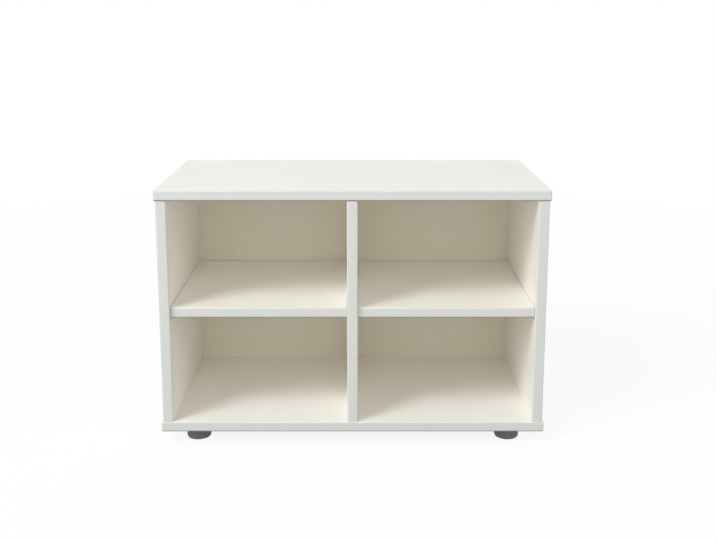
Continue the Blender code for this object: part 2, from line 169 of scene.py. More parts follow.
OUTWARD = {
    "left": Vector((-1.0, 0.0, 0.0)),
    "right": Vector((1.0, 0.0, 0.0)),
    "front": Vector((0.0, -1.0, 0.0)),
    "rear": Vector((0.0, 1.0, 0.0)),
    "bottom": Vector((0.0, 0.0, -1.0)),
    "top": Vector((0.0, 0.0, 1.0)),
}

# Finishes, as linear colours.
PURE_WHITE = (1.0, 1.0, 1.0, 1.0)
OUTER_WHITE = (0.886, 0.889, 0.848, 1.0)
# Painted bounce light: the inside faces' white is lighter and warmer than the outside's.
INNER_PAINTED_BOUNCE_WHITE = (0.931, 0.907, 0.863, 1.0)
MELAMINE_CLOUD = (0.70, 0.69, 0.64, 1.0)
MELAMINE_RUBBED = (0.93, 0.93, 0.90, 1.0)
# Painted bounce light: the back's inner face is a warm beige; its rear face takes the outside
# white.
BACK_PAINTED_BOUNCE_WHITE = (0.872, 0.838, 0.740, 1.0)
BACK_FIBRE = (0.60, 0.56, 0.46, 1.0)
EDGING_WHITE = (0.744, 0.752, 0.722, 1.0)
EDGING_CLOUD = (0.70, 0.70, 0.66, 1.0)
EDGING_RUBBED = (0.93, 0.93, 0.91, 1.0)
# Painted highlight: the whiter white of the edging's arrises.
EDGING_PAINTED_HIGHLIGHT = (0.900, 0.908, 0.885, 1.0)
# Painted shade: the grey of a lying band's lower arris.
EDGING_PAINTED_SHADE = (0.340, 0.345, 0.330, 1.0)
CHIP_PALE = (0.620, 0.470, 0.300, 1.0)
CHIP_DARK = (0.300, 0.190, 0.100, 1.0)
BEECH_PALE = (0.640, 0.440, 0.260, 1.0)
BEECH_DARK = (0.480, 0.290, 0.150, 1.0)
BEECH_FLECK = (0.30, 0.16, 0.08, 1.0)
ZINC = (0.700, 0.715, 0.730, 1.0)
ZINC_DULL = (0.520, 0.535, 0.550, 1.0)
YELLOW_ZINC = (0.720, 0.600, 0.330, 1.0)
YELLOW_ZINC_PINK = (0.680, 0.480, 0.400, 1.0)
GREY_PLASTIC = (0.155, 0.158, 0.150, 1.0)
GREY_PLASTIC_FLOW = (0.110, 0.111, 0.105, 1.0)
GREY_PLASTIC_WORN = (0.215, 0.215, 0.205, 1.0)

# Pearl scales, and the part of a noise that carries the changes in clouds and in crystals.
MELAMINE_PEARLS = 900.0
EDGING_PEARLS = 1300.0
LACQUER_PEARLS = 380.0
CLOUDS = (0.3, 0.7)
CRYSTALS = (0.35, 0.65)

# The edging's painted highlight along its arrises, as a share of their white, and the painted
# shade along its lower arris, whose start and full height are shares of the arris's radius.
PAINTED_HIGHLIGHT_SHARE = 0.45
PAINTED_SHADE_START = 1.2
PAINTED_SHADE_FULL = 0.7

# The heights above the floor between which a glide is rubbed, none and most.
RUBBED_FROM = 0.0045
RUBBED_MOST = 0.0005

# The camera stands 0.9 m up, two metres in front of the unit, and looks down a little.
EYE = Vector((0.0113, -2.105, 0.895))
LENS = 48.76
SENSOR_WIDTH = 36.0
TILT = math.radians(10.54)
SHIFT = -0.11

# Lamps: name, turn to the right and rise in degrees, distance, size, power and tint.
COOL = (0.928, 0.968, 1.0)
WARM = (1.0, 0.980, 0.932)
LAMPS = (
    ("key", -46.5, 44.8, 8.0, 2.6, 288.0, COOL),
    ("front_fill", 0.0, 28.0, 7.0, 4.0, 74.0, WARM),
    ("left_fill", -60.0, 20.0, 7.0, 4.0, 150.0, WARM),
    ("right_fill", 60.0, 20.0, 7.0, 4.0, 98.0, WARM),
    ("right_rear_fill", 118.0, 20.0, 7.0, 4.0, 92.0, WARM),
    ("rear_fill", 180.0, 14.0, 7.0, 4.0, 92.0, WARM),
)

# The studio: the even light all round, what the floor sends back near the unit and further
# off, the share of the floor's own shading that the eye gets, and where that fades out.
WORLD_LEVEL = 0.3
FLOOR_SIZE = 30.0
FLOOR_BOUNCE = (0.37, 0.48)
BOUNCE_REACH = (0.5, 1.6)
FLOOR_GLOW = 1.0
FLOOR_SHADOW = 0.12
FLOOR_FADE = (1.2, 3.0)
WHITE_BOX_BOUNCES = 12


# Node helpers.


def feed(tree, sockets, inputs):
    """Links each input that is a socket, and sets each that is a value."""
    for key, value in inputs.items():
        if isinstance(value, bpy.types.NodeSocket):
            tree.links.new(value, sockets[key])
        else:
            sockets[key].default_value = value


def add_node(tree, kind, inputs=None, **settings):
    """Adds a node, sets its options, and sets or links its inputs."""
    node = tree.nodes.new(kind)
    for name, value in settings.items():
        setattr(node, name, value)
    feed(tree, node.inputs, inputs or {})
    return node


def work_out(tree, operation, *values):
    """A Math node's result."""
    inputs = dict(enumerate(values))
    return add_node(tree, "ShaderNodeMath", inputs, operation=operation).outputs[0]


def between(tree, value, low, high, new_low=0.0, new_high=1.0):
    """Maps a value from one range to another, clamped."""
    inputs = {
        "Value": value,
        "From Min": low,
        "From Max": high,
        "To Min": new_low,
        "To Max": new_high,
    }
    return add_node(tree, "ShaderNodeMapRange", inputs).outputs[0]


def blend_colours(tree, share, first, second):
    """Mixes two colours by a share from 0 to 1."""
    node = add_node(tree, "ShaderNodeMix", data_type="RGBA")
    in_use = {socket.name: socket for socket in node.inputs if socket.enabled}
    feed(tree, in_use, {"Factor": share, "A": first, "B": second})
    return next(socket for socket in node.outputs if socket.enabled)


def cloudy(tree, position, scale, detail=2.0, roughness=0.5):
    """A noise value over a position."""
    inputs = {"Vector": position, "Scale": scale, "Detail": detail, "Roughness": roughness}
    return add_node(tree, "ShaderNodeTexNoise", inputs).outputs[0]


def vectors(tree, operation, *values):
    """A Vector Math node's outputs."""
    inputs = dict(enumerate(values))
    return add_node(tree, "ShaderNodeVectorMath", inputs, operation=operation).outputs


def stretched(tree, position, factors):
    """A position scaled along each axis, so that a pattern runs one way."""
    return vectors(tree, "MULTIPLY", position, factors)[0]


def along_axis(tree, position, axis):
    """A position's distance along X (0), Y (1) or Z (2)."""
    return add_node(tree, "ShaderNodeSeparateXYZ", {0: position}).outputs[axis]


def new_group(name, inputs, outputs):
    """An empty shader group with named sockets, and its input and output nodes."""
    group = bpy.data.node_groups.new(name, "ShaderNodeTree")
    for direction, sockets in (("INPUT", inputs), ("OUTPUT", outputs)):
        for socket_name, kind, value in sockets:
            socket = group.interface.new_socket(
                name=socket_name, in_out=direction, socket_type=kind
            )
            if value is not None:
                socket.default_value = value
    given = group.nodes.new("NodeGroupInput")
    result = group.nodes.new("NodeGroupOutput")
    return group, given.outputs, result.inputs


def use_group(tree, group, inputs):
    """Places a group in a material and gives its outputs."""
    node = tree.nodes.new("ShaderNodeGroup")
    node.node_tree = group
    feed(tree, node.inputs, inputs)
    return node.outputs


# Effects that several finishes share.


def build_edge_wear():
    """A box's edges: Edge is the line along them, Wear is that line broken into patches."""
    group, given, result = new_group(
        "edge_wear",
        [
            ("Position", "NodeSocketVector", None),
            ("Centre", "NodeSocketVector", None),
            ("Half Size", "NodeSocketVector", None),
            ("Reach", "NodeSocketFloat", 0.001),
            ("Break Up", "NodeSocketFloat", 60.0),
        ],
        [("Wear", "NodeSocketFloat", None), ("Edge", "NodeSocketFloat", None)],
    )
    offset = vectors(group, "SUBTRACT", given["Position"], given["Centre"])[0]
    size = vectors(group, "ABSOLUTE", offset)[0]
    depth = vectors(group, "SUBTRACT", given["Half Size"], size)[0]
    split = add_node(group, "ShaderNodeSeparateXYZ", {0: depth}).outputs
    lesser = work_out(group, "MINIMUM", split[0], split[1])
    greater = work_out(group, "MAXIMUM", split[0], split[1])
    middle = work_out(group, "MINIMUM", greater, split[2])
    to_edge = work_out(group, "MAXIMUM", lesser, middle)
    share = work_out(group, "DIVIDE", to_edge, given["Reach"])
    near = between(group, share, 1.0, 0.0)
    patches = cloudy(
        group, given["Position"], scale=given["Break Up"], detail=3.0, roughness=0.6
    )
    broken = between(group, patches, 0.42, 0.68)
    wear = work_out(group, "MULTIPLY", near, broken)
    group.links.new(wear, result["Wear"])
    group.links.new(near, result["Edge"])
    return group


def build_pearl():
    """The pressed surface of melamine and edging: fine pearls, and a faint cloudiness."""
    group, given, result = new_group(
        "fine_pearl",
        [
            ("Position", "NodeSocketVector", None),
            ("Pearl Scale", "NodeSocketFloat", MELAMINE_PEARLS),
        ],
        [("Height", "NodeSocketFloat", None), ("Cloud", "NodeSocketFloat", None)],
    )
    pearls = add_node(
        group,
        "ShaderNodeTexVoronoi",
        {"Vector": given["Position"], "Scale": given["Pearl Scale"]},
        feature="SMOOTH_F1",
    ).outputs["Distance"]
    ripple = cloudy(group, given["Position"], scale=320.0, detail=3.0, roughness=0.55)
    cloud = cloudy(group, given["Position"], scale=9.0, detail=4.0, roughness=0.55)
    mixed = {"Factor": 0.45, "A": pearls, "B": ripple}
    height = add_node(group, "ShaderNodeMix", mixed, data_type="FLOAT").outputs[0]
    group.links.new(height, result["Height"])
    group.links.new(cloud, result["Cloud"])
    return group


def build_chipboard():
    """Pressed wood chips, as a board shows where nothing covers its edge."""
    group, given, result = new_group(
        "chipboard",
        [("Position", "NodeSocketVector", None)],
        [("Colour", "NodeSocketColor", None), ("Height", "NodeSocketFloat", None)],
    )
    laid = stretched(group, given["Position"], (0.45, 0.45, 1.0))
    chips = add_node(
        group, "ShaderNodeTexVoronoi", {"Vector": laid, "Scale": 700.0, "Randomness": 1.0}
    ).outputs
    tone = add_node(group, "ShaderNodeSeparateColor", {0: chips["Color"]}).outputs[0]
    grit = cloudy(group, laid, scale=1400.0, detail=3.0, roughness=0.7)
    gaps = between(group, grit, 0.30, 0.48)
    share = work_out(group, "MULTIPLY", tone, 0.75)
    colour = blend_colours(group, share, CHIP_PALE, CHIP_DARK)
    colour = blend_colours(group, gaps, CHIP_DARK, colour)
    group.links.new(colour, result["Colour"])
    group.links.new(work_out(group, "MULTIPLY", tone, gaps), result["Height"])
    return group


def build_plating():
    """Zinc plate: cloudy crystals and fine marks round the turned metal."""
    group, given, result = new_group(
        "plating",
        [("Position", "NodeSocketVector", None)],
        [("Cloud", "NodeSocketFloat", None), ("Height", "NodeSocketFloat", None)],
    )
    cloud = cloudy(group, given["Position"], scale=420.0, detail=4.0, roughness=0.6)
    rings = stretched(group, given["Position"], (60.0, 60.0, 4200.0))
    marks = cloudy(group, rings, scale=1.0, detail=2.0, roughness=0.5)
    group.links.new(cloud, result["Cloud"])
    group.links.new(marks, result["Height"])
    return group


def build_moulding():
    """The spark-eroded skin of a moulded part, with faint flow marks."""
    group, given, result = new_group(
        "moulded_skin",
        [("Position", "NodeSocketVector", None)],
        [("Flow", "NodeSocketFloat", None), ("Height", "NodeSocketFloat", None)],
    )
    flow = cloudy(group, given["Position"], scale=110.0, detail=3.0, roughness=0.5)
    sparks = cloudy(group, given["Position"], scale=2600.0, detail=2.0, roughness=0.6)
    group.links.new(flow, result["Flow"])
    group.links.new(sparks, result["Height"])
    return group


EDGE_WEAR = build_edge_wear()
PEARL = build_pearl()
CHIPBOARD = build_chipboard()
PLATING = build_plating()
MOULDING = build_moulding()


# Finishes.


def start_material(name, **sockets):
    """A new material with its Principled shader and its object position."""
    material = bpy.data.materials.new(name)
    material.use_nodes = True
    tree = material.node_tree
    shader = tree.nodes["Principled BSDF"]
    for socket, value in sockets.items():
        shader.inputs[socket.replace("_", " ")].default_value = value
    position = tree.nodes.new("ShaderNodeTexCoord").outputs["Object"]
    return material, tree, shader, position


def set_relief(tree, shader, height, depth, strength):
    """Feeds a height to the shader as a bump of that depth in metres."""
    bump = add_node(
        tree,
        "ShaderNodeBump",
        {"Height": height, "Distance": depth, "Strength": strength},
    )
    tree.links.new(bump.outputs[0], shader.inputs["Normal"])


def on_faces(tree, position, node, faces):
    """A mask of the named faces of a box-shaped CAD node."""
    low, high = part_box(node)
    mask = None
    for face in faces:
        way = OUTWARD[face]
        level = max(low.dot(way), high.dot(way)) - FACE_FINISH
        outward = vectors(tree, "DOT_PRODUCT", position, way)["Value"]
        here = work_out(tree, "GREATER_THAN", outward, level)
        mask = here if mask is None else work_out(tree, "MAXIMUM", mask, here)
    return mask


def between_skins(tree, position, node):
    """A mask of a board's core, between the melamine skins of its two broad faces."""
    low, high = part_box(node)
    size = high - low
    thin = min(range(3), key=lambda axis: size[axis])
    depth = along_axis(tree, position, thin)
    offset = work_out(tree, "SUBTRACT", depth, (low[thin] + high[thin]) / 2)
    reach = size[thin] / 2 - SKIN
    return work_out(tree, "LESS_THAN", work_out(tree, "ABSOLUTE", offset), reach)


def wear_of(tree, position, node, reach, break_up):
    """The edges of a CAD node's box: Edge is the whole line, Wear its handled patches."""
    low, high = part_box(node)
    inputs = {
        "Position": position,
        "Centre": (low + high) / 2,
        "Half Size": (high - low) / 2,
        "Reach": reach,
        "Break Up": break_up,
    }
    return use_group(tree, EDGE_WEAR, inputs)


def melamine(node, inside=(), raw=(), edged=()):
    """Melamine board: a lighter, warmer white on its inside faces as painted bounce light,
    chipboard where it is left raw.
    """
    material, tree, shader, position = start_material(
        f"melamine_{node}", Specular_IOR_Level=0.4
    )
    pearl = use_group(tree, PEARL, {"Position": position, "Pearl Scale": MELAMINE_PEARLS})
    colour = OUTER_WHITE
    # Inside faces get painted bounce light: a lighter, warmer white.
    for faces, white in ((inside, INNER_PAINTED_BOUNCE_WHITE), (edged, EDGING_WHITE)):
        if faces:
            mask = on_faces(tree, position, node, faces)
            colour = blend_colours(tree, mask, colour, white)
    cloud = between(tree, pearl["Cloud"], *CLOUDS, 0.0, 0.05)
    colour = blend_colours(tree, cloud, colour, MELAMINE_CLOUD)
    wear = wear_of(tree, position, node, reach=0.0012, break_up=70.0)["Wear"]
    faint = work_out(tree, "MULTIPLY", wear, 0.18)
    colour = blend_colours(tree, faint, colour, MELAMINE_RUBBED)
    height = pearl["Height"]
    roughness = between(tree, pearl["Cloud"], *CLOUDS, 0.38, 0.47)
    if raw:
        chips = use_group(tree, CHIPBOARD, {"Position": position})
        core = between_skins(tree, position, node)
        bare = work_out(tree, "MULTIPLY", on_faces(tree, position, node, raw), core)
        colour = blend_colours(tree, bare, colour, chips["Colour"])
        matt = work_out(tree, "MULTIPLY", bare, 0.85)
        roughness = work_out(tree, "MAXIMUM", roughness, matt)
        crumbs = work_out(tree, "MULTIPLY", bare, chips["Height"])
        height = work_out(tree, "ADD", height, work_out(tree, "MULTIPLY", crumbs, 6.0))
    tree.links.new(colour, shader.inputs["Base Color"])
    tree.links.new(roughness, shader.inputs["Roughness"])
    set_relief(tree, shader, height, depth=0.00006, strength=0.35)
    return material


def edging(node):
    """Satin edge band with a painted highlight along its arrises; a lying one has painted shade
    along its lower arris.
    """
    material, tree, shader, position = start_material(f"edging_{node}")
    pearl = use_group(tree, PEARL, {"Position": position, "Pearl Scale": EDGING_PEARLS})
    edges = wear_of(tree, position, node, reach=0.0028, break_up=45.0)
    cloud = between(tree, pearl["Cloud"], *CLOUDS, 0.0, 0.05)
    colour = blend_colours(tree, cloud, EDGING_WHITE, EDGING_CLOUD)
    faint = work_out(tree, "MULTIPLY", edges["Wear"], 0.15)
    colour = blend_colours(tree, faint, colour, EDGING_RUBBED)
    # Painted highlight: the arrises are made whiter.
    painted_highlight = work_out(tree, "MULTIPLY", edges["Edge"], PAINTED_HIGHLIGHT_SHARE)
    colour = blend_colours(tree, painted_highlight, colour, EDGING_PAINTED_HIGHLIGHT)
    # Painted shade: a lying band greys towards its lower arris.
    low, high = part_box(node)
    lying = high.z - low.z < max(high.x - low.x, high.y - low.y)
    if lying:
        start = low.z + PAINTED_SHADE_START * ARRIS_RADIUS
        full = low.z + PAINTED_SHADE_FULL * ARRIS_RADIUS
        painted_shade = between(tree, along_axis(tree, position, 2), start, full)
        colour = blend_colours(tree, painted_shade, colour, EDGING_PAINTED_SHADE)
    satin = between(tree, pearl["Cloud"], *CLOUDS, 0.33, 0.40)
    polish = work_out(tree, "MULTIPLY", edges["Wear"], 0.10)
    tree.links.new(colour, shader.inputs["Base Color"])
    tree.links.new(work_out(tree, "SUBTRACT", satin, polish), shader.inputs["Roughness"])
    set_relief(tree, shader, pearl["Height"], depth=0.00004, strength=0.25)
    return material


def lacquered_back(node):
    """White lacquer on thin fibreboard, with the roller's faint orange peel; the inner face is a
    warm beige, painted bounce light.
    """
    material, tree, shader, position = start_material("lacquered_back")
    pearl = use_group(tree, PEARL, {"Position": position, "Pearl Scale": LACQUER_PEARLS})
    behind = on_faces(tree, position, node, ["rear"])
    # The inner face gets a warm beige as painted bounce light; the rear face stays white.
    colour = blend_colours(tree, behind, BACK_PAINTED_BOUNCE_WHITE, OUTER_WHITE)
    upright = stretched(tree, position, (1.0, 1.0, 0.25))
    fibres = cloudy(tree, upright, scale=500.0, detail=5.0, roughness=0.7)
    share = between(tree, fibres, 0.35, 0.75, 0.0, 0.09)
    colour = blend_colours(tree, share, colour, BACK_FIBRE)
    tree.links.new(colour, shader.inputs["Base Color"])
    roughness = between(tree, pearl["Cloud"], *CLOUDS, 0.46, 0.56)
    tree.links.new(roughness, shader.inputs["Roughness"])
    set_relief(tree, shader, pearl["Height"], depth=0.00008, strength=0.35)
    return material


def raw_beech():
    """Beech dowel stock, with its grain along the dowel and short dark flecks."""
    material, tree, shader, position = start_material("raw_beech")
    along = stretched(tree, position, (900.0, 900.0, 45.0))
    grain = cloudy(tree, along, scale=1.0, detail=4.0, roughness=0.6)
    specks = cloudy(tree, along, scale=2.6, detail=1.0, roughness=0.5)
    flecks = between(tree, specks, 0.62, 0.70, 0.0, 0.6)
    colour = blend_colours(tree, grain, BEECH_PALE, BEECH_DARK)
    colour = blend_colours(tree, flecks, colour, BEECH_FLECK)
    tree.links.new(colour, shader.inputs["Base Color"])
    tree.links.new(between(tree, grain, *CLOUDS, 0.55, 0.72), shader.inputs["Roughness"])
    set_relief(tree, shader, grain, depth=0.00008, strength=0.5)
    return material


def zinc_plate(name, bright, dull, smooth, rough):
    """Zinc plate on turned steel, cloudy between two tones."""
    material, tree, shader, position = start_material(name, Metallic=1.0)
    plate = use_group(tree, PLATING, {"Position": position})
    share = between(tree, plate["Cloud"], *CRYSTALS)
    colour = blend_colours(tree, share, bright, dull)
    tree.links.new(colour, shader.inputs["Base Color"])
    roughness = between(tree, plate["Cloud"], *CRYSTALS, smooth, rough)
    tree.links.new(roughness, shader.inputs["Roughness"])
    set_relief(tree, shader, plate["Height"], depth=0.00002, strength=0.3)
    return material


def moulded_plastic():
    """Dark grey glide plastic, rubbed paler where it meets the floor."""
    material, tree, shader, position = start_material("dark_grey_moulding")
    skin = use_group(tree, MOULDING, {"Position": position})
    low_down = between(tree, along_axis(tree, position, 2), RUBBED_FROM, RUBBED_MOST)
    scuffs = cloudy(tree, position, scale=260.0, detail=4.0, roughness=0.65)
    rubbed = between(tree, scuffs, 0.45, 0.65, 0.0, 0.5)
    share = work_out(tree, "MULTIPLY", low_down, rubbed)
    flow = between(tree, skin["Flow"], *CLOUDS, 0.0, 0.12)
    colour = blend_colours(tree, flow, GREY_PLASTIC, GREY_PLASTIC_FLOW)
    colour = blend_colours(tree, share, colour, GREY_PLASTIC_WORN)
    tree.links.new(colour, shader.inputs["Base Color"])
    roughness = between(tree, skin["Flow"], *CLOUDS, 0.40, 0.50)
    tree.links.new(roughness, shader.inputs["Roughness"])
    set_relief(tree, shader, skin["Height"], depth=0.00003, strength=0.5)
    return material


# Mesh helpers.


def arc(radius, centre, start_deg, end_deg, steps):
    """Points of (radius, height) along an arc, in the plane that gets spun."""
    turns = [start_deg + (end_deg - start_deg) * i / steps for i in range(steps + 1)]
    return [
        (
            centre[0] + radius * math.cos(math.radians(turn)),
            centre[1] + radius * math.sin(math.radians(turn)),
        )
        for turn in turns
    ]


def spun(outline, steps, closed_ring=False, rise=0.0):
    """Spins an outline of (radius, height) points once about Z, with a rise for a thread."""
    bm = bmesh.new()
    points = [bm.verts.new((radius, 0.0, height)) for radius, height in outline]
    edges = [bm.edges.new(pair) for pair in zip(points, points[1:])]
    if closed_ring:
        edges.append(bm.edges.new((points[-1], points[0])))
    bmesh.ops.spin(
        bm,
        geom=points + edges,
        cent=(0.0, 0.0, 0.0),
        axis=(0.0, 0.0, 1.0),
        dvec=(0.0, 0.0, rise / steps),
        angle=math.tau,
        steps=steps,
        use_merge=rise == 0.0,
    )
    return bm


def turned(outline, steps, closed_ring=False):
    """Spins an outline of (radius, height) points about Z into a closed solid."""
    bm = spun(outline, steps, closed_ring)
    bmesh.ops.remove_doubles(bm, verts=bm.verts, dist=1e-7)
    bmesh.ops.recalc_face_normals(bm, faces=bm.faces)
    return bm


def add_box(bm, low, high):
    """Adds a box between two corners to a bmesh and gives its vertices."""
    low = Vector(low)
    high = Vector(high)
    size = Matrix.Diagonal((*(high - low), 1.0))
    middle = Matrix.Translation((low + high) / 2)
    return bmesh.ops.create_cube(bm, size=1.0, matrix=middle @ size)["verts"]


def shift_to(bm, place):
    """Moves a whole bmesh by the vector from the origin to its place."""
    bmesh.ops.translate(bm, verts=bm.verts, vec=place)


def parts_of(geometry, kind):
    """The vertices or edges among what an operator gives back."""
    return [item for item in geometry if isinstance(item, kind)]


def cut_flat(bm, height, keep_below):
    """Cuts a closed mesh with a level plane and closes the cut."""
    cut = bmesh.ops.bisect_plane(
        bm,
        geom=bm.verts[:] + bm.edges[:] + bm.faces[:],
        dist=1e-8,
        plane_co=(0.0, 0.0, height),
        plane_no=(0.0, 0.0, 1.0),
        clear_outer=keep_below,
        clear_inner=not keep_below,
    )
    rim = parts_of(cut["geom_cut"], bmesh.types.BMEdge)
    bmesh.ops.holes_fill(bm, edges=rim, sides=0)


def combined(bm, other, operation):
    """Joins or cuts one closed mesh with another, and gives the result."""
    parts = []
    for shape in (bm, other):
        mesh = bpy.data.meshes.new("shape")
        shape.to_mesh(mesh)
        shape.free()
        part = bpy.data.objects.new("shape", mesh)
        bpy.context.scene.collection.objects.link(part)
        parts.append(part)
    boolean = parts[0].modifiers.new("join", "BOOLEAN")
    boolean.operation = operation
    boolean.solver = "EXACT"
    boolean.object = parts[1]
    drawn = parts[0].evaluated_get(bpy.context.evaluated_depsgraph_get())
    result = bmesh.new()
    result.from_mesh(drawn.to_mesh())
    drawn.to_mesh_clear()
    for part in parts:
        mesh = part.data
        bpy.data.objects.remove(part)
        bpy.data.meshes.remove(mesh)
    return result


def make_piece(name, bm, nodes, material, smooth_deg=35.0):
    """Turns a bmesh into a piece that stands for CAD nodes and rides on their body."""
    mesh = bpy.data.meshes.new(name)
    bm.to_mesh(mesh)
    bm.free()
    mesh.shade_smooth()
    mesh.set_sharp_from_angle(angle=math.radians(smooth_deg))
    mesh.materials.append(material)
    piece = bpy.data.objects.new(name, mesh)
    bpy.context.scene.collection.objects.link(piece)
    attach(piece, frame["nodes"][nodes[0]]["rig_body"])
    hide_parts(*nodes)
    return piece


# Boards keep their CAD solids.


def finish_board(node, material):
    """Gives a CAD board its finish."""
    solid = frame["nodes"][node]
    solid.data.materials.clear()
    solid.data.materials.append(material)


def finish_boards():
    """Finishes each board by which of its faces are inside (painted lighter and warmer), edged
    in white or left raw.
    """
    rear = ("rear",)
    ends = ("top", "bottom")
    sides = ("left", "right")
    for node, faces in (
        ("top_panel", {"inside": ("bottom",), "edged": rear}),
        ("bottom_panel", {"inside": ("top",), "edged": rear}),
        ("left_side_panel", {"inside": ("right",), "raw": ends, "edged": rear}),
        ("right_side_panel", {"inside": ("left",), "raw": ends, "edged": rear}),
        ("divider_panel", {"inside": sides, "raw": ends + rear}),
        ("left_shelf", {"inside": ends, "raw": rear, "edged": sides}),
        ("right_shelf", {"inside": ends, "raw": rear, "edged": sides}),
    ):
        finish_board(node, melamine(node, **faces))
    finish_board("back_panel", lacquered_back("back_panel"))


# Edge bands.


def lies_on(point, centre, half, face):
    """Whether a point of a box is on the named face."""
    way = OUTWARD[face]
    return (point - centre).dot(way) > abs(half.dot(way)) * ON_FACE


def make_edging(node, rounded, glued):
    """An edge band with its round arrises, drawn out over the gap to what it is glued to."""
    low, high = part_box(node)
    for face in glued:
        way = OUTWARD[face] * GLUE_GAP_TAKEN
        low += Vector([min(step, 0.0) for step in way])
        high += Vector([max(step, 0.0) for step in way])
    centre = (low + high) / 2
    half = (high - low) / 2
    bm = bmesh.new()
    add_box(bm, low, high)
    chosen = []
    for first, second in rounded:
        for edge in bm.edges:
            middle = (edge.verts[0].co + edge.verts[1].co) / 2
            if lies_on(middle, centre, half, first) and lies_on(middle, centre, half, second):
                chosen.append(edge)
    bmesh.ops.bevel(
        bm,
        geom=chosen,
        offset=ARRIS_RADIUS,
        offset_type="OFFSET",
        affect="EDGES",
        segments=ARRIS_STEPS,
        profile=0.5,
        clamp_overlap=True,
        material=-1,
    )
    name = node.replace("_band", "_edging")
    piece = make_piece(name, bm, [node], edging(node), smooth_deg=40.0)
    even = piece.modifiers.new("even_normals", "WEIGHTED_NORMAL")
    even.keep_sharp = True


def make_edgings():
    """All edge bands, each with the arrises that are rounded and the faces that are glued."""
    front = [("front", "top"), ("front", "bottom"), ("front", "left"), ("front", "right")]
    ends = [("left", "top"), ("left", "bottom"), ("right", "top"), ("right", "bottom")]
    for level in ("top", "bottom"):
        make_edging(f"{level}_front_band", front + ends, ["rear"])
        for side, inner in (("left", "right"), ("right", "left")):
            arrises = [(side, "top"), (side, "bottom")]
            make_edging(f"{level}_{side}_band", arrises, [inner, "front"])
    for upright in ("left_side", "right_side", "divider"):
        arrises = [("front", "left"), ("front", "right")]
        make_edging(f"{upright}_front_band", arrises, ["rear"])
    for shelf in ("left_shelf", "right_shelf"):
        arrises = [("front", "top"), ("front", "bottom")]
        make_edging(f"{shelf}_front_band", arrises, ["rear"])


# Dowels.


def make_dowel(node, material):
    """A fluted dowel with chamfered ends, in the place of its CAD solid."""
    low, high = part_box(node)
    radius = (high.x - low.x) / 2
    bm = bmesh.new()
    bmesh.ops.create_circle(bm, cap_ends=False, segments=DOWEL_FLUTES * 2, radius=radius)
    around = sorted(bm.verts, key=lambda vertex: math.atan2(vertex.co.y, vertex.co.x))
    for vertex in around[::2]:
        vertex.co *= 1.0 - DOWEL_FLUTE_DEPTH / radius
    end = (radius - DOWEL_CHAMFER) / radius
    bmesh.ops.scale(bm, verts=bm.verts, vec=(end, end, 1.0))
    ring = bm.edges[:]
    length = high.z - low.z
    for rise, grow in (
        (DOWEL_CHAMFER, 1.0 / end),
        (length - 2 * DOWEL_CHAMFER, 1.0),
        (DOWEL_CHAMFER, end),
    ):
        made = bmesh.ops.extrude_edge_only(bm, edges=ring)["geom"]
        ring = parts_of(made, bmesh.types.BMEdge)
        moved = parts_of(made, bmesh.types.BMVert)
        bmesh.ops.translate(bm, verts=moved, vec=(0.0, 0.0, rise))
        bmesh.ops.scale(bm, verts=moved, vec=(grow, grow, 1.0))
    bmesh.ops.holes_fill(bm, edges=bm.edges, sides=0)
    shift_to(bm, ((low.x + high.x) / 2, (low.y + high.y) / 2, low.z))
    bmesh.ops.recalc_face_normals(bm, faces=bm.faces)
    make_piece(f"fluted_{node}", bm, [node], material, smooth_deg=60.0)


# Shelf pins.


def pin_outline(length):
    """A turned pin along Z: shank below zero, then the collar, then the head."""
    collar_low = PIN_TO_FACE
    collar_high = collar_low + PIN_COLLAR
    tip = length - PIN_SHANK
    rounding = PIN_ROUNDING
    collar = PIN_COLLAR_RADIUS - rounding
    outline = [(0.0, tip)]
    outline += arc(rounding, (PIN_HEAD_RADIUS - rounding, tip - rounding), 90, 0, steps=4)
    outline += [(PIN_HEAD_RADIUS, collar_high)]
    outline += arc(rounding, (collar, collar_high - rounding), 90, 0, steps=4)
    outline += arc(rounding, (collar, collar_low + rounding), 0, -90, steps=4)
    outline += [
        (PIN_SHANK_RADIUS, collar_low),
        (PIN_SHANK_RADIUS, PIN_CHAMFER - PIN_SHANK),
        (PIN_SHANK_RADIUS - PIN_CHAMFER, -PIN_SHANK),
        (0.0, -PIN_SHANK),
    ]
    return outline


def make_pin(node, material):
    """A shelf pin with its flat, lying in an upright's face as its CAD solid does."""
    low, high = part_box(node)
    length = high.x - low.x
    head_to_right = node.startswith("left_shelf_outer") or node.startswith("right_shelf_inner")
    axis_height = low.z + PIN_COLLAR_RADIUS
    bm = turned(pin_outline(length), STEEL_STEPS)
    bmesh.ops.rotate(bm, verts=bm.verts, matrix=Matrix.Rotation(math.radians(90), 3, "Y"))
    cut_flat(bm, high.z - axis_height, keep_below=True)
    face = low.x + PIN_SHANK
    if not head_to_right:
        bmesh.ops.rotate(bm, verts=bm.verts, matrix=Matrix.Rotation(math.pi, 3, "Z"))
        face = high.x - PIN_SHANK
    shift_to(bm, (face, (low.y + high.y) / 2, axis_height))
    bmesh.ops.recalc_face_normals(bm, faces=bm.faces)
    make_piece(f"turned_{node}", bm, [node], material, smooth_deg=40.0)


# Levelling feet.


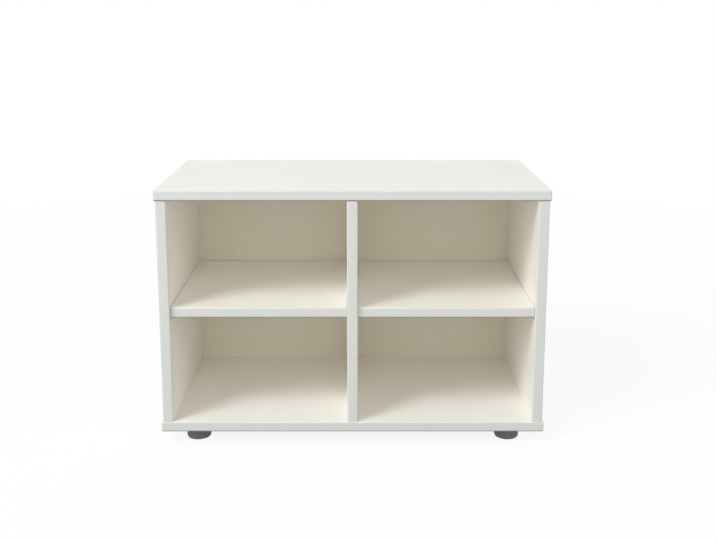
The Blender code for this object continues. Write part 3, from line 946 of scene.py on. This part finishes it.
def glide_outline():
    """The glide from the centre of its base, round its wall and hub, to the ball socket."""
    edge = GLIDE_EDGE_RADIUS
    rim = GLIDE_INNER_EDGE_RADIUS
    lip = HUB_EDGE_RADIUS
    fillet = HUB_FILLET
    base_radius = GLIDE_RADIUS - GLIDE_CHAMFER_IN
    inner = GLIDE_RADIUS - GLIDE_WALL
    mouth_deg = math.degrees(math.asin((HUB_TOP - SOCKET_LEAD_IN - BALL_CENTRE) / SOCKET_RADIUS))
    outline = [(0.0, BASE_RECESS), (BASE_RECESS_RADIUS, BASE_RECESS)]
    outline += [(BASE_RECESS_RADIUS + BASE_RECESS, 0.0)]
    outline += arc(edge, (base_radius - edge, edge), -90, -20, steps=6)
    outline += arc(edge, (GLIDE_RADIUS - edge, GLIDE_CHAMFER_UP), -20, 0, steps=3)
    outline += arc(edge, (GLIDE_RADIUS - edge, GLIDE_HEIGHT - edge), 0, 90, steps=8)
    outline += arc(rim, (inner + rim, GLIDE_HEIGHT - rim), 90, 180, steps=4)
    outline += arc(fillet, (inner - fillet, GLIDE_BASE + fillet), 0, -90, steps=5)
    outline += arc(fillet, (HUB_RADIUS + fillet, GLIDE_BASE + fillet), -90, -180, steps=5)
    outline += arc(lip, (HUB_RADIUS - lip, HUB_TOP - lip), 0, 90, steps=4)
    mouth = arc(SOCKET_RADIUS, (0.0, BALL_CENTRE), mouth_deg, -90, steps=18)
    outline += [(mouth[0][0] + SOCKET_LEAD_IN, HUB_TOP)]
    outline += mouth[:-1] + [(0.0, BALL_CENTRE - SOCKET_RADIUS)]
    return outline


def spokes(count, first_turn, inner, outer, thickness, low, high, draft):
    """Radial bars about Z that thin upwards by their draft, as one mesh."""
    bm = bmesh.new()
    for i in range(count):
        corners = add_box(bm, (inner, -thickness / 2, low), (outer, thickness / 2, high))
        for vertex in corners:
            if vertex.co.z > (low + high) / 2:
                vertex.co.y *= 1.0 - draft
        turn = first_turn + math.tau * i / count
        bmesh.ops.rotate(bm, verts=corners, matrix=Matrix.Rotation(turn, 3, "Z"))
    return bm


def make_glide(foot, place, material):
    """The moulded cup, with ribs from its hub to its wall and snap slots in the hub."""
    bm = turned(glide_outline(), ROUND_STEPS)
    ribs = spokes(
        count=RIBS,
        first_turn=0.0,
        inner=HUB_RADIUS - RIB_ROOT,
        outer=GLIDE_RADIUS - GLIDE_WALL / 2,
        thickness=RIB_THICKNESS,
        low=GLIDE_BASE - RIB_ROOT,
        high=RIB_TOP,
        draft=RIB_DRAFT,
    )
    slots = spokes(
        count=SLOTS,
        first_turn=math.pi / RIBS,
        inner=NECK_RADIUS,
        outer=HUB_RADIUS + SLOT_PAST_HUB,
        thickness=SLOT_WIDTH,
        low=SLOT_FLOOR,
        high=HUB_TOP + SLOT_PAST_TOP,
        draft=0.0,
    )
    bm = combined(bm, ribs, "UNION")
    bm = combined(bm, slots, "DIFFERENCE")
    shift_to(bm, place)
    node = f"{foot}_glide"
    make_piece(f"moulded_{node}", bm, [node], material, smooth_deg=32.0)


def threaded_bar(low, high):
    """A closed bar with a right-hand thread, cut level where its turns are whole."""
    turns = math.ceil((high - low) / THREAD_PITCH) + 3
    start = low - 1.5 * THREAD_PITCH
    outline = []
    for i in range(turns):
        base = start + i * THREAD_PITCH
        outline += [(radius, base + rise * THREAD_PITCH) for radius, rise in THREAD_PROFILE]
    bm = spun(outline, STEEL_STEPS, rise=THREAD_PITCH)
    bmesh.ops.remove_doubles(bm, verts=bm.verts, dist=1e-6)
    cut_flat(bm, high, keep_below=True)
    cut_flat(bm, low, keep_below=False)
    bmesh.ops.recalc_face_normals(bm, faces=bm.faces)
    return bm


def chamfered_hexagon():
    """A hexagon whose corners are turned off above and below."""
    corner = HEXAGON_FLATS / math.sqrt(3)
    bm = bmesh.new()
    bmesh.ops.create_cone(
        bm,
        cap_ends=True,
        segments=6,
        radius1=corner,
        radius2=corner,
        depth=HEXAGON_TOP - HEXAGON_BOTTOM,
        matrix=Matrix.Translation((0.0, 0.0, (HEXAGON_TOP + HEXAGON_BOTTOM) / 2)),
    )
    crown = HEXAGON_FLATS / 2 * HEXAGON_CROWN
    fall = (corner - crown) * math.tan(math.radians(HEXAGON_TURNED_DEG))
    lens = [
        (0.0, HEXAGON_TOP + HAIR),
        (crown, HEXAGON_TOP + HAIR),
        (corner + 2 * HAIR, HEXAGON_TOP - fall),
        (corner + 2 * HAIR, HEXAGON_BOTTOM + fall),
        (crown, HEXAGON_BOTTOM - HAIR),
        (0.0, HEXAGON_BOTTOM - HAIR),
    ]
    return combined(bm, turned(lens, STEEL_STEPS), "INTERSECT")


def make_stem(foot, place, material):
    """The steel stem: thread, hexagon, neck and ball in one."""
    middle = (HEXAGON_TOP + HEXAGON_BOTTOM) / 2
    joint_deg = math.degrees(math.acos(NECK_RADIUS / BALL_RADIUS))
    ball = arc(BALL_RADIUS, (0.0, BALL_CENTRE), joint_deg, -90, steps=20)
    neck = [(0.0, middle), (NECK_RADIUS, middle)] + ball[:-1]
    neck += [(0.0, BALL_CENTRE - BALL_RADIUS)]
    tip = [
        (0.0, middle),
        (THREAD_CREST + 3 * HAIR, middle),
        (THREAD_CREST + 3 * HAIR, SHANK_TOP - SHANK_TIP),
        (THREAD_ROOT - 5 * HAIR, SHANK_TOP),
        (0.0, SHANK_TOP),
    ]
    bm = combined(threaded_bar(middle, SHANK_TOP), turned(tip, STEEL_STEPS), "INTERSECT")
    bm = combined(bm, chamfered_hexagon(), "UNION")
    bm = combined(bm, turned(neck, STEEL_STEPS), "UNION")
    bmesh.ops.remove_doubles(bm, verts=bm.verts, dist=2e-6)
    bmesh.ops.dissolve_degenerate(bm, edges=bm.edges, dist=1e-6)
    shift_to(bm, place)
    node = f"{foot}_stem"
    make_piece(f"threaded_{node}", bm, [node], material, smooth_deg=30.0)


def make_sleeve(foot, place, underside, material):
    """The pressed-in sleeve: three barbs, a rounded flange and a chamfered bore."""
    low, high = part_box(f"{foot}_sleeve")
    flange_low = low.z - underside
    flange_high = flange_low + SLEEVE_FLANGE
    top = high.z - underside
    pitch = top / SLEEVE_BARBS
    body = SLEEVE_RADIUS - SLEEVE_BARB
    outline = [(SLEEVE_BORE + SLEEVE_CHAMFER, top), (body, top)]
    for i in range(SLEEVE_BARBS):
        foot_of_barb = top - (i + 0.75) * pitch
        outline += [
            (SLEEVE_RADIUS - HAIR, foot_of_barb + HAIR),
            (SLEEVE_RADIUS, foot_of_barb),
            (body, foot_of_barb - SLEEVE_BARB_UNDERCUT),
        ]
        if i < SLEEVE_BARBS - 1:
            outline += [(body, top - (i + 1) * pitch)]
    rounding = SLEEVE_FLANGE / 2 - HAIR
    rim = SLEEVE_FLANGE_RADIUS - rounding
    outline += [(body, flange_high)]
    outline += arc(rounding, (rim, flange_high - rounding), 90, 0, steps=5)
    outline += arc(rounding, (rim, flange_low + rounding), 0, -90, steps=5)
    outline += [(SLEEVE_BORE + SLEEVE_LEAD_IN, flange_low)]
    outline += [(SLEEVE_BORE, flange_low + SLEEVE_LEAD_IN)]
    outline += [(SLEEVE_BORE, top - SLEEVE_CHAMFER)]
    bm = turned(outline, STEEL_STEPS, closed_ring=True)
    shift_to(bm, (place[0], place[1], underside))
    node = f"{foot}_sleeve"
    make_piece(f"barbed_{node}", bm, [node], material)


def make_feet(plastic, bright, yellow):
    """The glide, stem and sleeve of each foot, round the axis of its CAD glide."""
    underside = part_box("bottom_panel")[0].z
    for foot in ("front_left", "front_right", "rear_left", "rear_right"):
        low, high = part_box(f"{foot}_glide")
        place = ((low.x + high.x) / 2, (low.y + high.y) / 2, 0.0)
        make_glide(foot, place, plastic)
        make_stem(foot, place, bright)
        make_sleeve(foot, place, underside, yellow)


# Stage, light and camera.


def seen_directly(tree):
    """Is 1 for rays that show a thing itself, or show it in a gloss or through glass."""
    path = tree.nodes.new("ShaderNodeLightPath").outputs
    either = work_out(tree, "MAXIMUM", path["Is Camera Ray"], path["Is Glossy Ray"])
    return work_out(tree, "MAXIMUM", either, path["Is Transmission Ray"])


def blend_shaders(tree, share, first, second):
    """Mixes two shaders by a share from 0 to 1."""
    inputs = {0: share, 1: first, 2: second}
    return add_node(tree, "ShaderNodeMixShader", inputs).outputs[0]


def make_floor():
    """A wide pale floor: nearly white to the eye, keeping a faint shadow."""
    bm = bmesh.new()
    bmesh.ops.create_grid(bm, x_segments=4, y_segments=4, size=FLOOR_SIZE)
    mesh = bpy.data.meshes.new("studio_floor")
    bm.to_mesh(mesh)
    bm.free()
    floor = bpy.data.objects.new("studio_floor", mesh)
    bpy.context.scene.collection.objects.link(floor)
    material = bpy.data.materials.new("studio_floor")
    material.use_nodes = True
    tree = material.node_tree
    tree.nodes.remove(tree.nodes["Principled BSDF"])
    position = tree.nodes.new("ShaderNodeTexCoord").outputs["Object"]
    away = vectors(tree, "LENGTH", position)["Value"]
    bounce = between(tree, away, *BOUNCE_REACH, *FLOOR_BOUNCE)
    grey = add_node(tree, "ShaderNodeBsdfDiffuse", {"Color": bounce}).outputs[0]
    white = add_node(tree, "ShaderNodeBsdfDiffuse", {"Color": PURE_WHITE}).outputs[0]
    glow = add_node(tree, "ShaderNodeEmission", {"Strength": FLOOR_GLOW}).outputs[0]
    share = between(tree, away, *FLOOR_FADE, FLOOR_SHADOW, 0.0)
    shown = blend_shaders(tree, share, glow, white)
    surface = blend_shaders(tree, seen_directly(tree), grey, shown)
    tree.links.new(surface, tree.nodes["Material Output"].inputs["Surface"])
    mesh.materials.append(material)


def make_world():
    """Even light from all round, and plain white where the backdrop is looked at."""
    world = bpy.data.worlds.new("studio")
    bpy.context.scene.world = world
    world.use_nodes = True
    tree = world.node_tree
    tree.nodes.clear()
    light, backdrop = (
        add_node(
            tree, "ShaderNodeBackground", {"Color": PURE_WHITE, "Strength": level}
        ).outputs[0]
        for level in (WORLD_LEVEL, 1.0)
    )
    surface = blend_shaders(tree, seen_directly(tree), light, backdrop)
    output = tree.nodes.new("ShaderNodeOutputWorld")
    tree.links.new(surface, output.inputs["Surface"])


def add_softbox(name, turn, rise, distance, size, power, tint):
    """A square lamp that faces the unit's middle; only the key shows in the gloss."""
    middle = (cad_box[0] + cad_box[1]) / 2
    level = math.cos(math.radians(rise))
    way = Vector(
        (
            math.sin(math.radians(turn)) * level,
            -math.cos(math.radians(turn)) * level,
            math.sin(math.radians(rise)),
        )
    )
    lamp = bpy.data.lights.new(name, "AREA")
    lamp.shape = "SQUARE"
    lamp.size = size
    lamp.energy = power
    lamp.color = tint
    holder = bpy.data.objects.new(name, lamp)
    holder.location = middle + way * distance
    holder.rotation_mode = "QUATERNION"
    holder.rotation_quaternion = (-way).to_track_quat("-Z", "Y")
    holder.visible_glossy = name == "key"
    bpy.context.scene.collection.objects.link(holder)


def make_camera():
    """The camera, with its shift downwards as a share of the picture's width."""
    camera = bpy.data.cameras.new("camera")
    camera.lens = LENS
    camera.sensor_width = SENSOR_WIDTH
    camera.shift_y = SHIFT
    holder = bpy.data.objects.new("camera", camera)
    holder.location = EYE
    holder.rotation_euler = (math.radians(90) - TILT, 0.0, 0.0)
    bpy.context.scene.collection.objects.link(holder)
    bpy.context.scene.camera = holder


def main():
    """Finishes the boards, makes the pieces that stand for nodes, and sets up the studio."""
    finish_boards()
    make_edgings()
    beech = raw_beech()
    bright = zinc_plate("bright_zinc", ZINC, ZINC_DULL, smooth=0.24, rough=0.40)
    yellow = zinc_plate(
        "yellow_zinc", YELLOW_ZINC, YELLOW_ZINC_PINK, smooth=0.28, rough=0.45
    )
    for node in sorted(frame["nodes"]):
        if node.endswith("_dowel"):
            make_dowel(node, beech)
        if node.endswith("_pin"):
            make_pin(node, bright)
    make_feet(moulded_plastic(), bright, yellow)
    make_floor()
    make_world()
    for lamp in LAMPS:
        add_softbox(*lamp)
    make_camera()
    bpy.context.scene.cycles.diffuse_bounces = WHITE_BOX_BOUNCES
    bpy.context.scene.view_settings.view_transform = "Standard"


main()
